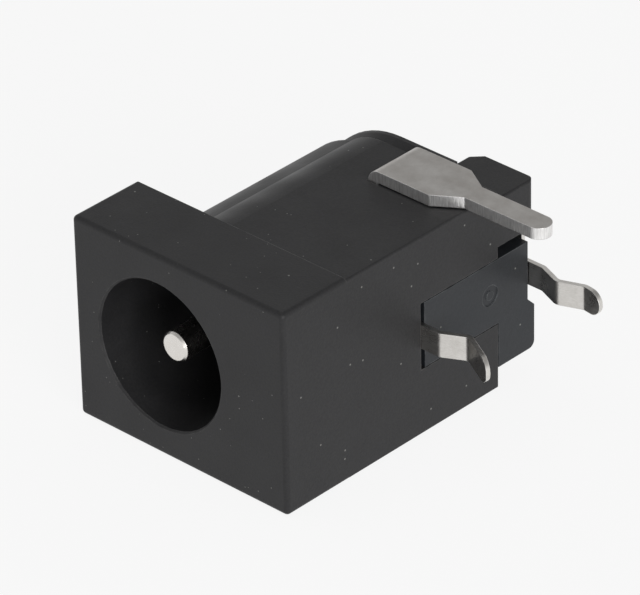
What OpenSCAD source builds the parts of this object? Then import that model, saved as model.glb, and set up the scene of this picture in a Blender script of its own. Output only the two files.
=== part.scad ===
// Board-mount dc barrel jack, lying on its side.
//
// Each piece is drawn as the jack sits on its board: x runs across it, y from the front face
// to the rear, and z up from the board face. lying() then turns the whole jack on its side:
// +X points to the board, +Z to the switch terminal, and the origin is the socket's centre.

/* [Front block] */
// Width of the block, across the board
block_w = 9.0; // [8.8:0.1:10]
// Height of the block above the board face
block_h = 11.1; // [10.8:0.1:12]
// Depth of the block, front to back
block_d = 3.5; // [3.2:0.1:3.8]
// Radius of the block's moulded edges
block_edge_r = 0.2; // [0.1:0.05:0.5]

/* [Plug socket] */
// Height of the socket's axis above the board face
axis_h = 6.6; // [6.4:0.05:6.8]
// Diameter of the socket
bore_d = 6.4; // [6:0.1:6.6]
// Depth of the socket from the front face
bore_depth = 9.45; // [9.2:0.05:10]
// Chamfer at the socket's mouth
mouth_chamfer = 0.08; // [0.04:0.02:0.2]
// Diameter of the mating plug's sleeve
plug_d = 5.5; // [5.3:0.05:5.6]

/* [Rear section] */
// Diameter of the barrel round the socket
barrel_d = 8.0; // [7.6:0.1:8.4]
// Step in from the block's sides to the rear section's
side_step = 0.05; // [0.02:0.01:0.1]
// Height at which the sides start to curve in
shoulder_z = 6.0; // [5.6:0.1:6.2]
// Radius of the sides' curve
shoulder_r = 2.6; // [2.4:0.1:2.8]
// Radius of the rear section's edges along the board face
board_edge_r = 0.1; // [0.1:0.05:0.3]
// Thickness of the wall behind the socket
rear_wall = 2.6; // [2.6:0.05:3]
// Thickness of the flange on the upper part of that wall
lip_d = 0.6; // [0.4:0.05:0.7]
// How far the flange stands out past the sides
lip_proud = 0.12; // [0.06:0.02:0.16]
// Length over which the flange rises out of the sides
lip_ramp = 0.4; // [0.2:0.05:0.5]
// Height at which the flange's sides start to curve in
lip_shoulder_z = 5.55; // [5.3:0.05:5.8]
// Radius of the flange's curve
lip_r = 4.1; // [3.9:0.05:4.3]
// Height of the flange's lower edge above the board face
lip_z = 2.6; // [2.5:0.05:2.7]
// How far the cheeks reach behind the rear wall
cheek_d = 2.15; // [1.95:0.05:2.4]
// Height of the housing's cheek
cheek_h = 3.05; // [2.95:0.05:3.4]
// Distance from the axis to the inner face of the housing's cheek
cheek_in = 2.0; // [1.9:0.05:2.1]
// Distance from the axis to the outer face of the housing's cheek
cheek_out = 4.15; // [3.6:0.05:4.2]
// Radius of the cheek's rear corners
cheek_r = 0.3; // [0.1:0.05:0.5]
// Leg of the bevel on the cheek's upper rear corner
cheek_bevel = 0.5; // [0.3:0.05:0.8]
// Width of the boss that backs the rivet
boss_w = 4.4; // [4.3:0.1:5]
// How far the boss reaches behind the rear wall
boss_d = 1.8; // [1.65:0.05:1.85]
// Height of the boss above the socket's axis
boss_rise = 2.2; // [1.8:0.1:2.6]
// Radius of the boss's upper corners
boss_r = 0.5; // [0.2:0.1:0.8]
// How far the cheek's top stands above the boss's lower edge
boss_lap = 0.1; // [0.05:0.05:0.2]

/* [Contact channel] */
// Width of the channel under the socket
channel_w = 3.0; // [2.9:0.05:3.2]
// Distance from the front face to the slot in the board face
slot_y = 7.6; // [7.4:0.05:7.8]
// Thickness of the floor ahead of the slot
floor_t = 1.0; // [0.8:0.05:1.1]
// Distance from the block's rear edge to the channel's front end
channel_setback = 0.8; // [0.6:0.1:1]
// Space between the channel's front end and the leaf's loop
loop_space = 0.15; // [0.1:0.05:0.3]

/* [Terminal base] */
// Height of the base's tongue
tongue_h = 2.4; // [2.2:0.05:2.4]
// Height of the base's cheek
base_cheek_h = 2.5; // [2.1:0.05:2.5]
// Distance from the axis to the outer face of the base's cheek
base_cheek_out = 3.5; // [3.2:0.05:3.8]
// Radius of that cheek's rear corner
base_corner_r = 0.3; // [0.1:0.05:0.5]
// Diameter of the dimple round the gate mark
gate_d = 0.9; // [0.7:0.1:1.2]
// Depth of that dimple
gate_sink = 0.04; // [0.02:0.02:0.1]
// Diameter of the broken gate in the dimple
gate_nub_d = 0.4; // [0.2:0.1:0.6]

/* [Centre pin] */
// Diameter of the pin
pin_d = 1.3; // [1:0.05:1.65]
// Distance from the front face to the pin's tip
pin_inset = 0.8; // [0.5:0.1:1.2]
// Chamfer round the pin's tip
pin_chamfer = 0.1; // [0.04:0.02:0.2]
// Diameter of the shank that is pressed into the rear wall
shank_d = 1.9; // [1.8:0.1:2.2]
// Diameter of the neck that passes through the strap
neck_d = 1.0; // [0.8:0.1:1.2]
// Diameter of the rivet head
rivet_d = 1.9; // [1.6:0.1:2.2]
// Height of the rivet head
rivet_h = 0.25; // [0.15:0.05:0.35]

/* [Contact metal] */
// Thickness of the centre strap and of the leaf
strip_t = 0.2; // [0.15:0.05:0.3]
// Thickness of the switch contact
plate_t = 0.5; // [0.4:0.05:0.5]
// Length of the solder tails below the board face
tail_len = 3.75; // [3.5:0.05:4.5]
// Radius of the middle of a bent strip
bend_r = 0.35; // [0.3:0.05:0.4]

/* [Centre strap] */
// Width of the strap's solder tail
strap_tail_w = 1.05; // [0.9:0.05:1.3]
// Width of the strap's straight part
strap_w = 2.2; // [2:0.05:2.2]
// How far the strap's foot reaches from the axis on the switch side
strap_foot = 1.85; // [1.6:0.05:1.85]
// Height of the foot above the strap's shoulder
strap_foot_h = 2.3; // [1.8:0.1:2.5]
// Height of the strap's shoulder above the board face
strap_shoulder = 0.35; // [0.2:0.05:0.5]
// Radius of the eye round the rivet
eye_r = 1.45; // [1.2:0.05:1.6]
// How far the tail's kink steps forward
strap_kink = 0.42; // [0.3:0.02:0.5]
// Where the kink starts, as a share of the tail's length
strap_kink_top = 0.19; // [0.16:0.01:0.24]
// Where the kink is deepest
strap_kink_mid = 0.47; // [0.44:0.01:0.52]
// Where the kink ends
strap_kink_end = 0.76; // [0.74:0.01:0.8]
// How far the tail's tip steps forward
strap_tip = 0.12; // [0.06:0.02:0.3]

/* [Sleeve contact] */
// Width of the leaf's solder tail
leaf_tail_w = 1.06; // [0.9:0.02:1.3]
// Width of the leaf inside the channel
leaf_w = 2.4; // [2:0.1:2.5]
// How far the leaf stands into the plug's way
leaf_lift = 0.5; // [0.3:0.05:0.6]
// Distance from the front face to the leaf's crest
crest_y = 7.5; // [7:0.1:7.6]
// Height of the loop at the leaf's front end
loop_h = 1.25; // [1:0.05:1.4]
// Radius of the leaf's loop and of its crest
loop_r = 0.55; // [0.4:0.05:0.6]
// How far the tail's kink steps back
leaf_kink = 0.54; // [0.3:0.02:0.6]
// Where the kink starts, as a share of the tail's length
leaf_kink_top = 0.24; // [0.2:0.01:0.28]
// Where the kink is deepest
leaf_kink_mid = 0.52; // [0.48:0.01:0.56]
// How far the tail's tip steps forward
leaf_tip = 0.44; // [0.2:0.02:0.5]
// Length of the leaf's flat end ahead of the switch contact's tab
leaf_lead = 0.1; // [0.05:0.05:0.2]
// Distance from the leaf's end to the tab's rear edge
leaf_setback = 0.4; // [0.2:0.1:0.6]

/* [Switch contact] */
// Width of the switch contact's plate
plate_w = 2.45; // [2.2:0.05:2.45]
// Distance from the socket's rear wall to the plate's front edge
plate_start = 0.05; // [0:0.05:0.1]
// Space between the housing's side and the plate
plate_gap = 0.05; // [0.02:0.01:0.1]
// Height of the folded tab's lower face above the board face
tab_z = 3.9; // [3.8:0.05:4]
// Radius of the middle of the fold
fold_r = 0.3; // [0.28:0.01:0.32]
// Width of the switch contact's solder tail
switch_tail_w = 1.02; // [0.9:0.02:1.2]
// Distance from the plate's front edge to the tail's middle
switch_tail_y = 1.27; // [1.15:0.01:1.35]
// Height at which the plate starts to narrow
taper_top = 1.25; // [1:0.05:1.5]
// Height at which the plate has narrowed to its tail
taper_end = 0.1; // [0:0.05:0.3]

/* [Fits] */
// Clearance between the base and its channel, and round the folded tab
seat_gap = 0.04; // [0.02:0.01:0.05]
// Clearance where metal is pressed in or touches metal
press_gap = 0.01; // [0.005:0.005:0.015]

/* [Hidden] */
$fn = 96;
// How far a cut runs past the surface that it opens
past = 1;
// Angle between the flats that make up a bend
bend_step = 6;

// Rear section
side_x = block_w / 2 - side_step;
rear_y = bore_depth + rear_wall;
lip_y = rear_y + lip_d;
end_y = rear_y + cheek_d;
boss_y = rear_y + boss_d;
boss_z = cheek_h - boss_lap;

// Channel and base
channel_x = channel_w / 2;
channel_y = block_d + channel_setback;
tongue_x = channel_x - seat_gap;
tongue_y = slot_y + strip_t + 2 * press_gap;
tongue_end = boss_y - seat_gap;
channel_top = tongue_h + seat_gap;
recess_x = strap_w / 2 + 2 * seat_gap;
// Leg of the chamfer that lets the leaf bend round the floor's rear edge
floor_chamfer = loop_r - strip_t / 2 + press_gap;

// Centre strap, flat on the boss
strap_y = boss_y + strip_t / 2;
strap_top = axis_h + eye_r;

// Switch contact
plate_y = bore_depth + plate_start;
plate_end = plate_y + plate_w;
plate_x = side_x + plate_gap + plate_t / 2;
tab_mid = tab_z + plate_t / 2;

// Sleeve contact: the middle of its strip
root_y = slot_y + press_gap + strip_t / 2;
root_z = floor_t + press_gap + strip_t / 2;
loop_y = channel_y + loop_space + strip_t / 2;
crest_z = axis_h - plug_d / 2 + leaf_lift - strip_t / 2;
shelf_z = tab_z - press_gap - strip_t / 2;
shelf_y = plate_y - leaf_lead;
leaf_end = plate_end - leaf_setback;

// Turns the jack from its board onto its side
module lying() {
    translate([axis_h, 0, 0]) rotate([0, -90, 0]) children();
}

// An outline drawn in x and z, made solid from y = from to y = to
module along_y(from, to) {
    translate([0, to, 0]) rotate([90, 0, 0]) linear_extrude(to - from) children();
}

// An outline drawn in y and z, made solid from x = from to x = to
module along_x(from, to) {
    translate([from, 0, 0]) rotate([90, 0, 90]) linear_extrude(to - from) children();
}

// A round bar on the socket's axis, from y = from to y = to
module bar(from, to, d) {
    translate([0, from, axis_h]) rotate([-90, 0, 0]) cylinder(h = to - from, d = d);
}

// A cone on the socket's axis, d_from across at y = from and d_to across at y = to
module taper_bar(from, to, d_from, d_to) {
    translate([0, from, axis_h]) rotate([-90, 0, 0])
        cylinder(h = to - from, d1 = d_from, d2 = d_to);
}

// A box given by its low and high corners
module box(low, high) {
    translate(low) cube(high - low);
}

// A rectangle with round corners, given by its low and high corners
module round_rect(low, high, r) {
    translate([low[0] + r, low[1]]) square([high[0] - low[0] - 2 * r, high[1] - low[1]]);
    translate([low[0], low[1] + r]) square([high[0] - low[0], high[1] - low[1] - 2 * r]);
    for (x = [low[0] + r, high[0] - r], y = [low[1] + r, high[1] - r])
        translate([x, y]) circle(r);
}

// Unit vector at an angle in the plane of an outline
function unit(a) = [cos(a), sin(a)];
function heading(a, b) = atan2(b[1] - a[1], b[0] - a[0]);
// Angle that the path p turns through at corner i, positive to the left
function turn(p, i) = let (a = heading(p[i], p[i + 1]) - heading(p[i - 1], p[i]))
    a > 180 ? a - 360 : a < -180 ? a + 360 : a;

// One edge of a strip whose middle follows the corners p with bends of radius r, at the
// distance side to the left of the middle
function strip_edge(p, r, side) = [
    p[0] + side * unit(heading(p[0], p[1]) + 90),
    for (i = [1 : len(p) - 2]) let (
        a = turn(p, i),
        left = a < 0 ? -1 : 1,
        steps = ceil(abs(a) / bend_step),
        from = heading(p[i - 1], p[i]),
        centre = p[i] - r * tan(abs(a) / 2) * unit(from) + left * r * unit(from + 90)
    ) for (k = [0 : steps])
        centre - (left * r - side) * unit(from + 90 + a * k / steps),
    p[len(p) - 1] + side * unit(heading(p[len(p) - 2], p[len(p) - 1]) + 90)
];

// Outline of that strip, t thick
module strip_outline(p, r, t) {
    right = strip_edge(p, r, -t / 2);
    polygon(concat(strip_edge(p, r, t / 2), [for (i = [len(right) - 1 : -1 : 0]) right[i]]));
}

// Outline of a solder tail in its own width and z, with a round tip
module tail_outline(w, top) {
    translate([-w / 2, -tail_len + w / 2]) square([w, top + tail_len - w / 2]);
    translate([0, -tail_len + w / 2]) circle(d = w);
}

// The block at the front, with its front corners round and its rear edges left sharp
module front_block() {
    r = block_edge_r;
    x = block_w / 2 - r;
    along_y(r, block_d) round_rect([-x - r, 0], [x + r, block_h], r);
    along_y(0, block_d) translate([-x, r]) square([2 * x, block_h - 2 * r]);
    for (z = [r, block_h - r]) translate([-x, r, z]) rotate([0, 90, 0]) cylinder(h = 2 * x, r = r);
    for (side = [-x, x]) translate([side, r, r]) cylinder(h = block_h - 2 * r, r = r);
    for (side = [-x, x], z = [r, block_h - r]) translate([side, r, z]) sphere(r);
}

// Section of the rear part: upright sides that curve in to the barrel
module rear_outline() {
    round_rect([-side_x, 0], [side_x, shoulder_z], board_edge_r);
    translate([-side_x, board_edge_r]) square([2 * side_x, shoulder_z - board_edge_r]);
    for (side = [-1, 1])
        translate([side * (side_x - shoulder_r), shoulder_z]) circle(shoulder_r);
    translate([shoulder_r - side_x, shoulder_z])
        square([2 * (side_x - shoulder_r), shoulder_r]);
    translate([0, axis_h]) circle(d = barrel_d);
}

// Flange from y = from to y = to: upright sides that curve in behind the barrel. It stands
// out past the sides by proud[0] at its front and by proud[1] at its rear
module flange(from, to, proud) {
    x = side_x + lip_proud - lip_r;
    r = [for (p = proud) lip_r - lip_proud + p];
    plan = [[-x - r[0], from], [x + r[0], from], [x + r[1], to], [-x - r[1], to]];
    profile = [[from, lip_shoulder_z], [to, lip_shoulder_z],
        [to, lip_shoulder_z + r[1]], [from, lip_shoulder_z + r[0]]];
    translate([0, 0, lip_z]) linear_extrude(lip_shoulder_z - lip_z) polygon(plan);
    along_x(-x, x) polygon(profile);
    intersection() {
        for (side = [-x, x]) translate([side, from, lip_shoulder_z]) rotate([-90, 0, 0])
            cylinder(h = to - from, r1 = r[0], r2 = r[1]);
        box([-block_w, from, lip_shoulder_z], [block_w, to, lip_shoulder_z + block_w]);
    }
}

// Outline of the cheek in y and z
module cheek_outline() {
    difference() {
        round_rect([rear_y - lip_d, 0], [end_y, cheek_h], cheek_r);
        translate([end_y, cheek_h]) rotate(45)
            square(sqrt(2) * cheek_bevel, center = true);
    }
}

// Boss, and the cheek that guards the strap on the switch side
module rear_fittings() {
    along_y(lip_y - lip_d / 2, boss_y) {
        round_rect([-boss_w / 2, boss_z], [boss_w / 2, axis_h + boss_rise], boss_r);
        translate([-boss_w / 2, boss_z]) square([boss_w, axis_h - boss_z]);
    }
    intersection() {
        along_x(cheek_in, cheek_out) cheek_outline();
        along_y(rear_y - lip_d / 2, end_y) {
            round_rect([cheek_in, 0], [cheek_out, cheek_h], board_edge_r);
            translate([cheek_in, 0]) square([cheek_out - cheek_in - board_edge_r, cheek_h]);
        }
    }
}

// Room for the leaf and the base: open to the board behind the slot, and to the socket above
module channel() {
    box([-channel_x, slot_y, -past], [channel_x, end_y + past, channel_top]);
    box([-channel_x, channel_y, floor_t], [channel_x, bore_depth, axis_h]);
    box([-channel_x, bore_depth - seat_gap, floor_t],
        [channel_x, plate_end + seat_gap, tab_z + plate_t + seat_gap]);
    translate([0, slot_y, floor_t]) rotate([45, 0, 0])
        cube([channel_w, sqrt(2) * floor_chamfer, sqrt(2) * floor_chamfer], center = true);
}

module housing() {
    color([0.06, 0.06, 0.065]) lying() difference() {
        union() {
            front_block();
            along_y(block_d, rear_y) rear_outline();
            flange(rear_y, rear_y + lip_ramp, [0, lip_proud]);
            flange(rear_y + lip_ramp, lip_y, [lip_proud, lip_proud]);
            rear_fittings();
        }
        bar(-past, bore_depth, bore_d);
        taper_bar(-mouth_chamfer, mouth_chamfer, bore_d + 4 * mouth_chamfer, bore_d);
        channel();
        bar(0, boss_y + past, shank_d + 2 * press_gap);
        box([0, plate_y - seat_gap, tab_z - seat_gap],
            [block_w, plate_end + seat_gap, tab_z + plate_t + seat_gap]);
    }
}

// Plan of the base: a tongue for the channel, and a cheek beside the strap
module base_plan() {
    difference() {
        union() {
            translate([-tongue_x, tongue_y])
                square([2 * tongue_x, tongue_end - tongue_y]);
            translate([-recess_x, rear_y + seat_gap])
                square([recess_x, tongue_end - rear_y - seat_gap]);
            intersection() {
                round_rect([-base_cheek_out, rear_y + seat_gap - base_corner_r],
                    [0, end_y], base_corner_r);
                translate([-base_cheek_out, rear_y + seat_gap])
                    square([base_cheek_out - recess_x, cheek_d]);
            }
        }
        translate([-recess_x, tongue_end]) rotate(45) square(cheek_d);
    }
}

module terminal_base() {
    color([0.07, 0.075, 0.085]) lying() difference() {
        union() {
            linear_extrude(tongue_h) base_plan();
            linear_extrude(base_cheek_h) intersection() {
                base_plan();
                translate([-base_cheek_out, rear_y]) square([base_cheek_out - tongue_x, cheek_d]);
            }
            box([-tongue_x, lip_y + seat_gap, 0],
                [tongue_x, tongue_end, boss_z - seat_gap]);
        }
        translate([0, rear_y - gate_d / 2, -past]) difference() {
            cylinder(h = past + gate_sink, d = gate_d);
            cylinder(h = past + gate_sink, d = gate_nub_d);
        }
    }
}

module centre_pin() {
    color([0.72, 0.7, 0.67]) lying() {
        taper_bar(pin_inset, pin_inset + pin_chamfer, pin_d - 2 * pin_chamfer, pin_d);
        bar(pin_inset + pin_chamfer, bore_depth, pin_d);
        bar(bore_depth, boss_y, shank_d);
        bar(boss_y, boss_y + strip_t, neck_d);
        rivet_head();
    }
}

// The rivet head, domed
module rivet_head() {
    dome_r = (pow(rivet_d / 2, 2) + pow(rivet_h, 2)) / (2 * rivet_h);
    top = boss_y + strip_t + rivet_h;
    intersection() {
        bar(top - rivet_h, top, rivet_d);
        translate([0, top - dome_r, axis_h]) sphere(dome_r);
    }
}

// Outline of the strap in x and z: eye, straight part, foot and tail
module strap_outline() {
    translate([0, axis_h]) circle(eye_r);
    translate([-strap_w / 2, strap_shoulder]) square([strap_w, axis_h - strap_shoulder]);
    translate([0, strap_shoulder]) square([strap_foot, strap_foot_h]);
    tail_outline(strap_tail_w, strap_shoulder);
}

module centre_strap() {
    // The tail steps forward and back again below the board face
    corners = [[strap_y, strap_top], [strap_y, -strap_kink_top * tail_len],
        [strap_y - strap_kink, -strap_kink_mid * tail_len],
        [strap_y, -strap_kink_end * tail_len], [strap_y - strap_tip, -tail_len]];
    color([0.7, 0.68, 0.65]) lying() difference() {
        intersection() {
            along_x(-strap_foot, strap_foot) strip_outline(corners, bend_r, strip_t);
            along_y(strap_y - strap_kink - strip_t, boss_y + strip_t) strap_outline();
        }
        bar(boss_y - past, boss_y + past, neck_d + 2 * press_gap);
    }
}

module sleeve_contact() {
    tail = [[root_y - leaf_tip, -tail_len], [root_y + leaf_kink, -leaf_kink_mid * tail_len],
        [root_y, -leaf_kink_top * tail_len], [root_y, root_z]];
    leaf = [[root_y, 0], [root_y, root_z], [loop_y, root_z], [loop_y, root_z + loop_h],
        [crest_y, crest_z], [shelf_y, shelf_z], [leaf_end, shelf_z]];
    color([0.7, 0.68, 0.65]) lying() {
        intersection() {
            along_x(-leaf_w / 2, leaf_w / 2) strip_outline(tail, bend_r, strip_t);
            along_y(0, end_y) tail_outline(leaf_tail_w, floor_t - strip_t);
        }
        intersection() {
            along_x(-leaf_w / 2, leaf_w / 2) strip_outline(leaf, loop_r, strip_t);
            union() {
                box([-leaf_tail_w / 2, 0, 0], [leaf_tail_w / 2, end_y, axis_h]);
                box([-leaf_w / 2, 0, floor_t], [leaf_w / 2, end_y, axis_h]);
            }
        }
    }
}

// Outline of the switch contact in y and z: plate, taper and tail
module switch_outline() {
    tail_y = plate_y + switch_tail_y;
    translate([plate_y, taper_top]) square([plate_w, tab_z + plate_t - taper_top]);
    polygon([[plate_y, taper_top], [tail_y - switch_tail_w / 2, taper_end],
        [tail_y + switch_tail_w / 2, taper_end], [plate_end, taper_top]]);
    translate([tail_y, 0]) tail_outline(switch_tail_w, taper_end);
}

module switch_contact() {
    // Upright plate outside the housing, folded in to a tab that reaches across the leaf
    corners = [[plate_x, -tail_len], [plate_x, tab_mid], [-leaf_w / 2, tab_mid]];
    color([0.6, 0.58, 0.56]) lying() intersection() {
        along_y(plate_y, plate_end) strip_outline(corners, fold_r, plate_t);
        along_x(-leaf_w / 2, plate_x + plate_t / 2) switch_outline();
    }
}

housing();
terminal_base();
centre_pin();
centre_strap();
sleeve_contact();
switch_contact();
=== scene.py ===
"""The dc barrel jack's looks: materials, floor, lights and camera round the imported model.

Everything is in the row's frame and in metres. The jack lies on its side: -Y is its front face,
+X its board face, +Z the side with the switch contact. Inside materials, positions are in mm.
"""

import bpy
from mathutils import Matrix, Vector


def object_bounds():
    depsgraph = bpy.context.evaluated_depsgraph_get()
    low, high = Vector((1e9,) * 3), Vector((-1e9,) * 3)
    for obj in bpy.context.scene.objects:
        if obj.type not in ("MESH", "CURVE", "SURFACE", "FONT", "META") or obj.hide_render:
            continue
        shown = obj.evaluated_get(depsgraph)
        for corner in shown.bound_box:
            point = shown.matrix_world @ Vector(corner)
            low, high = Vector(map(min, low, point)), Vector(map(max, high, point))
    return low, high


MM = 0.001

# Sockets of the Mix node that have no name of their own
MIX_AMOUNT, MIX_LOW, MIX_HIGH = 0, 6, 7
MIX_COLOUR = 2
BEVEL_SAMPLES = 6

WHITE = (1, 1, 1)
PAPER = (0.86, 0.86, 0.86)
# Side of the floor
FLOOR_SIZE = 1.2
# How much of the floor is plain white to the camera and in reflections
FLOOR_WHITE = 0.88

# The room as a light, against 1 in reflections, and straight overhead against the horizon
ROOM_STRENGTH = 0.6
ROOM_OVERHEAD = 0.3
# Each lamp's place, the side of its square in metres and its power in watts
LAMPS = {
    "key": ((0.42, -0.20, 0.12), 0.30, 1.6),
    "top": ((-0.10, -0.05, 0.50), 0.35, 0.35),
}
LAMP_TARGET = (0, 0.006, 0)

# The camera stands at the photograph's angle, far off and with a long lens
CAMERA_PLACE = Vector((0.13022, -0.12738, 0.11462))
CAMERA_RIGHT = Vector((0.7311, 0.6820, -0.0191))
CAMERA_DOWN = Vector((0.3460, -0.3947, -0.8512))
CAMERA_LENS = 316.8
SENSOR_WIDTH = 36


class Graph:
    """A material's nodes, with short calls to add and join them."""

    def __init__(self, name):
        self.material = bpy.data.materials.new(name)
        self.material.use_nodes = True
        self.tree = self.material.node_tree
        self.tree.nodes.clear()

    @classmethod
    def of(cls, tree):
        """The same for a tree that is there already."""
        graph = cls.__new__(cls)
        graph.tree = tree
        tree.nodes.clear()
        return graph

    def put(self, socket, value):
        """Joins a socket to another one, or sets it to a plain value."""
        if isinstance(value, bpy.types.NodeSocket):
            self.tree.links.new(value, socket)
        elif value is not None:
            if socket.type == "RGBA" and len(value) == 3:
                value = (*value, 1.0)
            socket.default_value = value

    def add(self, kind, settings=None, **inputs):
        """A new node; an input's name has _ for each space."""
        node = self.tree.nodes.new("ShaderNode" + kind)
        for name, value in (settings or {}).items():
            setattr(node, name, value)
        for name, value in inputs.items():
            self.put(node.inputs[name.replace("_", " ")], value)
        return node

    def math(self, operation, *values):
        node = self.add("Math", {"operation": operation})
        for socket, value in zip(node.inputs, values):
            self.put(socket, value)
        return node.outputs[0]

    def vector(self, operation, *values):
        node = self.add("VectorMath", {"operation": operation})
        for socket, value in zip(node.inputs, values):
            self.put(socket, value)
        return node.outputs["Value" if operation == "DOT_PRODUCT" else "Vector"]

    def place(self, stretch=(1, 1, 1)):
        """Where a point lies on the jack, in mm, stretched for a streaky texture."""
        at = self.add("TexCoord").outputs["Object"]
        return self.vector("MULTIPLY", at, tuple(s / MM for s in stretch))

    def split(self, vector):
        return self.add("SeparateXYZ", Vector=vector).outputs

    def noise(self, size, detail=2.0, rough=0.5, stretch=(1, 1, 1)):
        """Noise from 0 to 1 whose lumps are about size mm across."""
        node = self.add(
            "TexNoise",
            Vector=self.place(stretch),
            Scale=1 / size,
            Detail=detail,
            Roughness=rough,
        )
        return node.outputs["Fac"]

    def between(self, value, low, high, to_low=0.0, to_high=1.0):
        """value from low..high, spread over to_low..to_high and held there."""
        node = self.add(
            "MapRange",
            {"clamp": True},
            Value=value,
            From_Min=low,
            From_Max=high,
            To_Min=to_low,
            To_Max=to_high,
        )
        return node.outputs[0]

    def mix(self, amount, low, high):
        """Colour from low to high."""
        node = self.add("Mix", {"data_type": "RGBA"})
        self.put(node.inputs[MIX_AMOUNT], amount)
        self.put(node.inputs[MIX_LOW], low)
        self.put(node.inputs[MIX_HIGH], high)
        return node.outputs[MIX_COLOUR]

    def soft_normal(self, radius):
        """Normal as it would be with the edges rounded by that many mm."""
        return self.add("Bevel", {"samples": BEVEL_SAMPLES}, Radius=radius * MM).outputs[0]

    def edges(self, radius):
        """0 on flat surfaces, rising on edges that a radius of that many mm would round."""
        soft = self.soft_normal(radius)
        flat = self.add("NewGeometry").outputs["Normal"]
        return self.math("SUBTRACT", 1.0, self.vector("DOT_PRODUCT", soft, flat))

    def bumps(self, *layers, radius=0.03):
        """Normal with soft edges and a bump for each (height, strength, depth in mm)."""
        normal = self.soft_normal(radius)
        for height, strength, depth in layers:
            normal = self.add(
                "Bump", Strength=strength, Distance=depth * MM, Height=height, Normal=normal
            ).outputs[0]
        return normal

    def dust(self, size, share):
        """Specks about size mm across, in that share of the cells of a grid."""
        cells = self.add("TexVoronoi", Vector=self.place(), Scale=1 / (5 * size))
        near = self.between(cells.outputs["Distance"], 0.1, 0.16, 1.0, 0.0)
        chosen = self.math("LESS_THAN", self.split(cells.outputs["Color"])[0], share)
        return self.math("MULTIPLY", near, chosen)

    def finish(self, **inputs):
        shader = self.add("BsdfPrincipled", **inputs)
        self.add("OutputMaterial", Surface=shader.outputs[0])
        return self.material


def black_plastic(name, dark, pale, worn_and_lit_edge, roughness, grain):
    """Dull moulded plastic: faint clouds, edges painted pale as wear and as a painted
    highlight, some dust and a grain in mm deep.
    """
    g = Graph(name)
    fine = g.noise(0.09, 3.0, 0.6)
    clouds = g.noise(2.2, 2.0)
    tone = g.math("ADD", g.math("MULTIPLY", fine, 0.6), g.math("MULTIPLY", clouds, 0.4))
    body = g.mix(g.between(tone, 0.3, 0.7), dark, pale)
    # Pale edges: partly wear, partly a painted highlight on the rounded edges
    wear_and_highlight = g.math("MULTIPLY", g.edges(0.08), g.between(g.noise(0.5, 3.0), 0.35, 0.75))
    body = g.mix(g.between(wear_and_highlight, 0.0, 0.12, 0.0, 0.8), body, worn_and_lit_edge)
    specks = g.math("MAXIMUM", g.dust(0.035, 0.06), g.dust(0.06, 0.015))
    body = g.mix(g.math("MULTIPLY", specks, 0.6), body, (0.32, 0.32, 0.3))
    return g.finish(
        Base_Color=body,
        Roughness=g.between(clouds, 0.3, 0.7, roughness - 0.05, roughness + 0.07),
        Specular_IOR_Level=0.3,
        Normal=g.bumps((fine, 0.35, grain), (g.noise(0.35, 2.0), 0.2, 0.02)),
    )


def housing_plastic():
    return black_plastic(
        "housing_plastic",
        dark=(0.013, 0.013, 0.014),
        pale=(0.026, 0.0255, 0.0265),
        # Edge colour: partly wear, partly a painted highlight
        worn_and_lit_edge=(0.12, 0.118, 0.115),
        roughness=0.5,
        grain=0.012,
    )


def base_plastic():
    return black_plastic(
        "base_plastic",
        dark=(0.012, 0.0135, 0.016),
        pale=(0.022, 0.025, 0.029),
        # Edge colour: partly wear, partly a painted highlight
        worn_and_lit_edge=(0.11, 0.115, 0.12),
        roughness=0.42,
        grain=0.008,
    )


def strip_metal():
    """Satin tin on a rolled strip: soft clouds, fine streaks along X, and a painted highlight
    on its edges.
    """
    g = Graph("strip_metal")
    streaks = g.noise(0.05, 2.0, 0.5, (0.12, 1, 1))
    clouds = g.noise(0.6, 3.0)
    tone = g.math("ADD", g.math("MULTIPLY", streaks, 0.45), g.math("MULTIPLY", clouds, 0.55))
    body = g.mix(g.between(tone, 0.3, 0.7), (0.55, 0.53, 0.50), (0.74, 0.72, 0.69))
    # Painted highlight: rounded edges are painted paler metal
    painted_edge_highlight = g.between(g.edges(0.05), 0.0, 0.25)
    body = g.mix(g.math("MULTIPLY", painted_edge_highlight, 0.5), body, (0.86, 0.85, 0.83))
    return g.finish(
        Base_Color=body,
        Metallic=1.0,
        Roughness=g.between(tone, 0.3, 0.7, 0.24, 0.38),
        Normal=g.bumps((streaks, 0.25, 0.004), (clouds, 0.3, 0.02)),
    )


def plate_metal():
    """The thick plate: grey rolled faces, and scored edges where it was sheared, painted far
    paler than the faces as a painted highlight.
    """
    g = Graph("plate_metal")
    facing = g.split(g.add("TexCoord").outputs["Normal"])[2]
    rolled = g.between(g.math("ABSOLUTE", facing), 0.55, 0.8)
    clouds = g.noise(0.7, 3.0)
    fine = g.noise(0.07, 2.0)
    scores = g.noise(0.06, 2.0, 0.5, (1, 1, 0.15))
    face = g.mix(g.between(clouds, 0.3, 0.7), (0.40, 0.38, 0.36), (0.50, 0.485, 0.465))
    # Painted highlight: the sheared faces get a far paler metal than the rolled ones; their
    # scores are real
    sheared_and_highlit = g.mix(g.between(scores, 0.3, 0.7), (0.70, 0.69, 0.68), (0.90, 0.89, 0.88))
    relief = g.math("MULTIPLY", scores, g.math("SUBTRACT", 1.0, rolled))
    return g.finish(
        Base_Color=g.mix(rolled, sheared_and_highlit, face),
        Metallic=1.0,
        Roughness=g.between(fine, 0.3, 0.7, 0.34, 0.46),
        Normal=g.bumps((fine, 0.2, 0.004), (relief, 0.5, 0.02), radius=0.04),
    )


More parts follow.
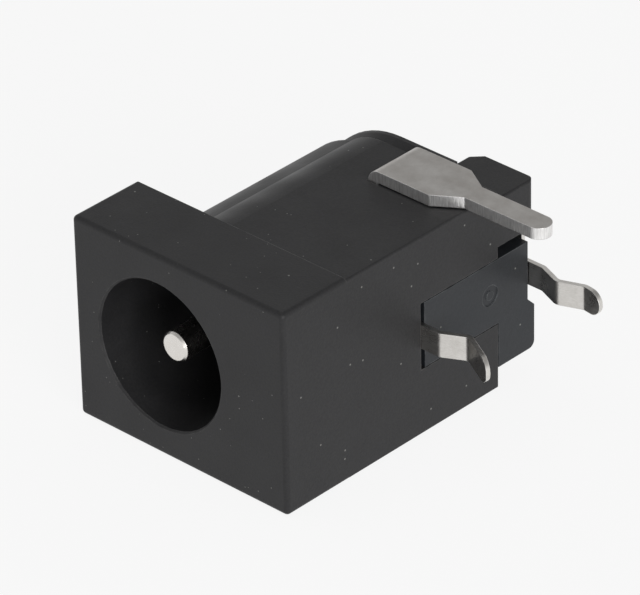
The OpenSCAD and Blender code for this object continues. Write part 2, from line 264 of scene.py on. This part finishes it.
def pin_metal():
    """Nickel on the turned pin: bright, with fine rings from the lathe."""
    g = Graph("pin_metal")
    rings = g.noise(0.03, 2.0, 0.5, (0.2, 1, 0.2))
    clouds = g.noise(0.4, 3.0)
    return g.finish(
        Base_Color=g.mix(clouds, (0.66, 0.63, 0.59), (0.82, 0.8, 0.77)),
        Metallic=1.0,
        Roughness=g.between(clouds, 0.3, 0.7, 0.2, 0.3),
        Normal=g.bumps((rings, 0.25, 0.004), (clouds, 0.25, 0.02), radius=0.05),
    )


def dress(nodes):
    """Gives each CAD node its material."""
    strip = strip_metal()
    dressed = {
        "housing": housing_plastic(),
        "terminal_base": base_plastic(),
        "centre_pin": pin_metal(),
        "centre_strap": strip,
        "sleeve_contact": strip,
        "switch_contact": plate_metal(),
    }
    for name, material in dressed.items():
        for slot in nodes[name].material_slots:
            slot.material = material


def add_floor(height):
    """A plain pale floor, white to the camera and in reflections but for a soft shadow."""
    bpy.ops.mesh.primitive_plane_add(size=FLOOR_SIZE, location=(0, 0, height))
    floor = bpy.context.object
    floor.name = "floor"
    g = Graph("floor_paper")
    seen = g.add("LightPath").outputs
    rays = g.math("MAXIMUM", seen["Is Camera Ray"], seen["Is Glossy Ray"])
    paper = g.add("BsdfDiffuse", Color=PAPER)
    white = g.add("Emission", Color=WHITE, Strength=1.0)
    shown = g.add("MixShader", Fac=g.math("MULTIPLY", rays, FLOOR_WHITE))
    g.put(shown.inputs[1], paper.outputs[0])
    g.put(shown.inputs[2], white.outputs[0])
    g.add("OutputMaterial", Surface=shown.outputs[0])
    floor.data.materials.append(g.material)


def light_world():
    """A soft room: white behind the jack, less bright overhead, and dimmer as a light."""
    world = bpy.data.worlds.new("room")
    world.use_nodes = True
    bpy.context.scene.world = world
    g = Graph.of(world.node_tree)
    seen = g.add("LightPath").outputs
    upward = g.split(g.add("TexCoord").outputs["Generated"])[2]
    room = g.between(upward, 0.15, 0.75, 1.0, ROOM_OVERHEAD)
    shone = g.math("MAXIMUM", seen["Is Glossy Ray"], seen["Is Transmission Ray"])
    lit = g.math("MULTIPLY", room, g.between(shone, 0.0, 1.0, ROOM_STRENGTH, 1.0))
    level = g.math("MAXIMUM", lit, seen["Is Camera Ray"])
    air = g.add("Background", Color=WHITE, Strength=level)
    g.add("OutputWorld", Surface=air.outputs[0])


def add_lamp(name, place, size, power):
    """A square softbox that faces the jack."""
    light = bpy.data.lights.new(name, "AREA")
    light.shape = "SQUARE"
    light.size = size
    light.energy = power
    lamp = bpy.data.objects.new(name, light)
    bpy.context.scene.collection.objects.link(lamp)
    lamp.location = place
    aim = Vector(LAMP_TARGET) - Vector(place)
    lamp.rotation_euler = aim.to_track_quat("-Z", "Y").to_euler()


def add_camera():
    """The camera, its picture's axes taken from the two that are named at the top."""
    data = bpy.data.cameras.new("camera")
    data.lens = CAMERA_LENS
    data.sensor_width = SENSOR_WIDTH
    data.clip_start = 0.01
    data.clip_end = 10
    camera = bpy.data.objects.new("camera", data)
    bpy.context.scene.collection.objects.link(camera)
    up = -CAMERA_DOWN
    back = CAMERA_RIGHT.cross(up)
    camera.matrix_world = Matrix.Translation(CAMERA_PLACE) @ Matrix(
        (CAMERA_RIGHT, up, back)
    ).transposed().to_4x4()
    bpy.context.scene.camera = camera


def corners():
    """Low and high corner of the part as it is now."""
    return [list(corner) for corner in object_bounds()]


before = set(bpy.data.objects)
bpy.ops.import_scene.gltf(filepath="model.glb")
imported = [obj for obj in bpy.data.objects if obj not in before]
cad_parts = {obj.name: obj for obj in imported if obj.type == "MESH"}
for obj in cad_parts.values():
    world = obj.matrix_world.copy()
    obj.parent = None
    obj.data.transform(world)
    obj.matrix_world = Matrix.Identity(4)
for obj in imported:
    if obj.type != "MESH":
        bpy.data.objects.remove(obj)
cad_box = corners()

dress(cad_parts)
add_floor(cad_box[0][2])
light_world()
for name, (place, size, power) in LAMPS.items():
    add_lamp(name, place, size, power)
add_camera()
bpy.context.scene.view_settings.view_transform = "Standard"
